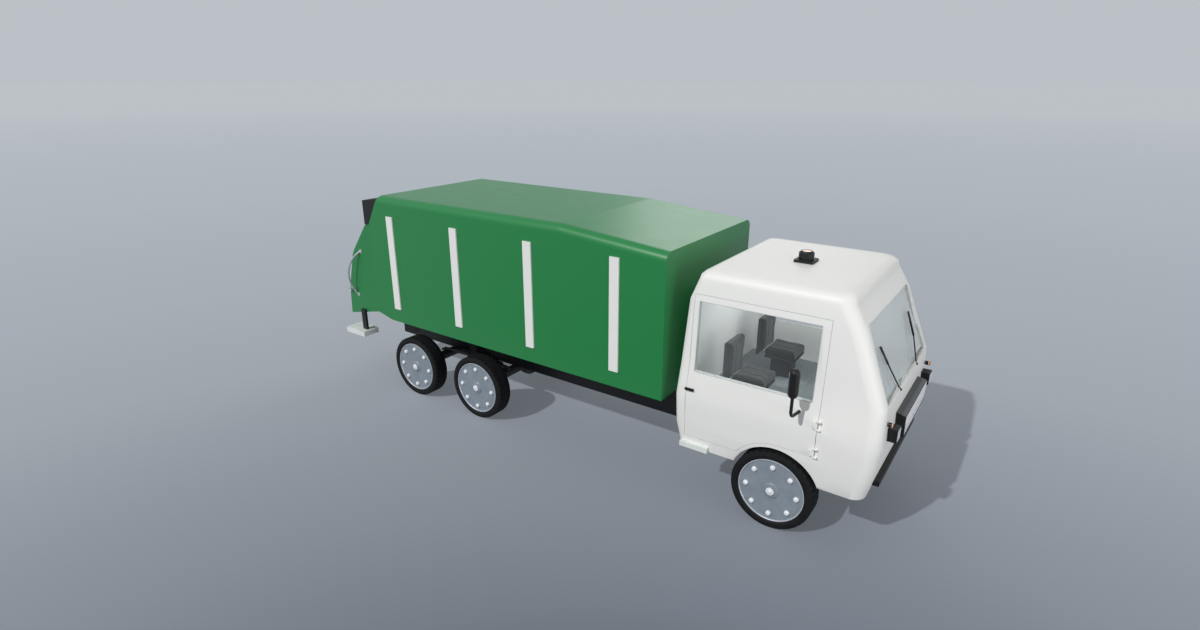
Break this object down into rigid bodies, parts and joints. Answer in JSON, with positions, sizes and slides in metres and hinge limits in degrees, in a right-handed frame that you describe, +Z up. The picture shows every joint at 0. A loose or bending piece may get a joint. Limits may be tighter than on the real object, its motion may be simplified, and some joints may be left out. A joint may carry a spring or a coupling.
{
  "type": "rear-loading garbage truck",
  "caption": "Three-axle rear-loading refuse truck with a tilting cab, opening doors, steered front wheels, an ejector body and a lifting hopper tailgate with a packing arm.",
  "frame": {"origin": "on the ground under the centre of the whole truck's bounding box", "axes": "+X forward along the truck, +Y to its left, +Z up"},
  "size_m": [9.1869, 2.9516, 3.285],
  "materials": {
    "tyre": "matt rubber",
    "disc": "satin blue-grey",
    "black_paint": "satin black",
    "axle_grey": "dark grey",
    "spring_steel": "dark steel",
    "green_paint": "gloss green",
    "white_paint": "gloss white",
    "glass": "clear",
    "black_plastic": "fine grain",
    "step_grey": "light grey",
    "charcoal": "woven",
    "interior_grey": "moulded",
    "blade_steel": "worn steel",
    "rail_grey": "satin",
    "engine_grey": "cast"
  },
  "bodies": {
    "chassis": {"side_rails": "black_paint", "cross_members": "black_paint", "engine_block": "engine_grey", "driveline": "axle_grey", "front_axle": "axle_grey", "drive_axles": "axle_grey", "leaf_springs": "spring_steel", "refuse_body": "green_paint", "body_ribs": "white_paint", "gate_hinge": "black_paint"},
    "cab": {"cab_shell": "white_paint", "cab_floor": "interior_grey", "arch_liners": "interior_grey", "windscreen": "glass", "grille": "black_plastic", "headlamps": "black_plastic", "indicators": "black_plastic", "bumper": "black_plastic", "wipers": "black_plastic", "beacon": "black_plastic", "cab_steps": "step_grey", "dashboard": "interior_grey", "seats": "charcoal", "steering_wheel": "black_plastic"},
    "door_left": {"door_left": "white_paint", "door_glass_left": "glass", "door_fittings_left": "black_plastic"},
    "door_right": {"door_right": "white_paint", "door_glass_right": "glass", "door_fittings_right": "black_plastic"},
    "knuckle_left": {"knuckle_left": "axle_grey"},
    "knuckle_right": {"knuckle_right": "axle_grey"},
    "tailgate": {"hopper": "green_paint", "hinge_housing": "black_paint", "grab_rails": "rail_grey", "step_posts": "black_paint", "rear_steps": "step_grey"},
    "packer_arm": {"packer_arm": "blade_steel"},
    "packer_blade": {"packer_blade": "blade_steel"},
    "ejector": {"ejector": "blade_steel"},
    "wheel_front_left": {"tyre_front_left": "tyre", "rim_front_left": "disc"},
    "wheel_front_right": {"tyre_front_right": "tyre", "rim_front_right": "disc"},
    "wheel_mid_left": {"tyre_mid_left": "tyre", "rim_mid_left": "disc"},
    "wheel_mid_right": {"tyre_mid_right": "tyre", "rim_mid_right": "disc"},
    "wheel_rear_left": {"tyre_rear_left": "tyre", "rim_rear_left": "disc"},
    "wheel_rear_right": {"tyre_rear_right": "tyre", "rim_rear_right": "disc"}
  },
  "joints": [
    {"name": "cab_tilt", "type": "hinge", "parent": "chassis", "child": "cab", "pos_m": [4.1715, 0, 0.75], "axis": [0, 1, 0], "range_deg": [0, 50]},
    {"name": "door_left_hinge", "type": "hinge", "parent": "cab", "child": "door_left", "pos_m": [3.8115, 1.238, 1.765], "axis": [0, 0, -1], "range_deg": [0, 70]},
    {"name": "door_right_hinge", "type": "hinge", "parent": "cab", "child": "door_right", "pos_m": [3.8115, -1.238, 1.765], "axis": [0, 0, 1], "range_deg": [0, 70]},
    {"name": "steer_left", "type": "hinge", "parent": "chassis", "child": "knuckle_left", "pos_m": [3.3815, 0.96, 0.501], "axis": [0, 0, 1], "range_deg": [-35, 35]},
    {"name": "steer_right", "type": "hinge", "parent": "chassis", "child": "knuckle_right", "pos_m": [3.3815, -0.96, 0.501], "axis": [0, 0, 1], "range_deg": [-35, 35]},
    {"name": "spin_front_left", "type": "hinge", "parent": "knuckle_left", "child": "wheel_front_left", "pos_m": [3.3815, 1.13, 0.501], "axis": [0, 1, 0], "continuous": true},
    {"name": "spin_front_right", "type": "hinge", "parent": "knuckle_right", "child": "wheel_front_right", "pos_m": [3.3815, -1.13, 0.501], "axis": [0, 1, 0], "continuous": true},
    {"name": "spin_mid_left", "type": "hinge", "parent": "chassis", "child": "wheel_mid_left", "pos_m": [-1.3985, 1.13, 0.501], "axis": [0, 1, 0], "continuous": true},
    {"name": "spin_mid_right", "type": "hinge", "parent": "chassis", "child": "wheel_mid_right", "pos_m": [-1.3985, -1.13, 0.501], "axis": [0, 1, 0], "continuous": true},
    {"name": "spin_rear_left", "type": "hinge", "parent": "chassis", "child": "wheel_rear_left", "pos_m": [-2.7985, 1.13, 0.501], "axis": [0, 1, 0], "continuous": true},
    {"name": "spin_rear_right", "type": "hinge", "parent": "chassis", "child": "wheel_rear_right", "pos_m": [-2.7985, -1.13, 0.501], "axis": [0, 1, 0], "continuous": true},
    {"name": "tailgate_lift", "type": "hinge", "parent": "chassis", "child": "tailgate", "pos_m": [-3.52428, 0, 3.1625], "axis": [0, 1, 0], "range_deg": [0, 85]},
    {"name": "arm_swing", "type": "hinge", "parent": "tailgate", "child": "packer_arm", "pos_m": [-3.9285, 0, 2.52], "axis": [0, 1, 0], "range_deg": [0, 20]},
    {"name": "blade_fold", "type": "hinge", "parent": "packer_arm", "child": "packer_blade", "pos_m": [-3.9285, 0, 1.82], "axis": [0, -1, 0], "range_deg": [0, 60]},
    {"name": "ejector_slide", "type": "slide", "parent": "chassis", "child": "ejector", "axis": [1, 0, 0], "range_m": [-4.2, 0]}
  ],
  "couplings": [
    {"joint": "steer_right", "follows": "steer_left", "ratio": 1}
  ]
}
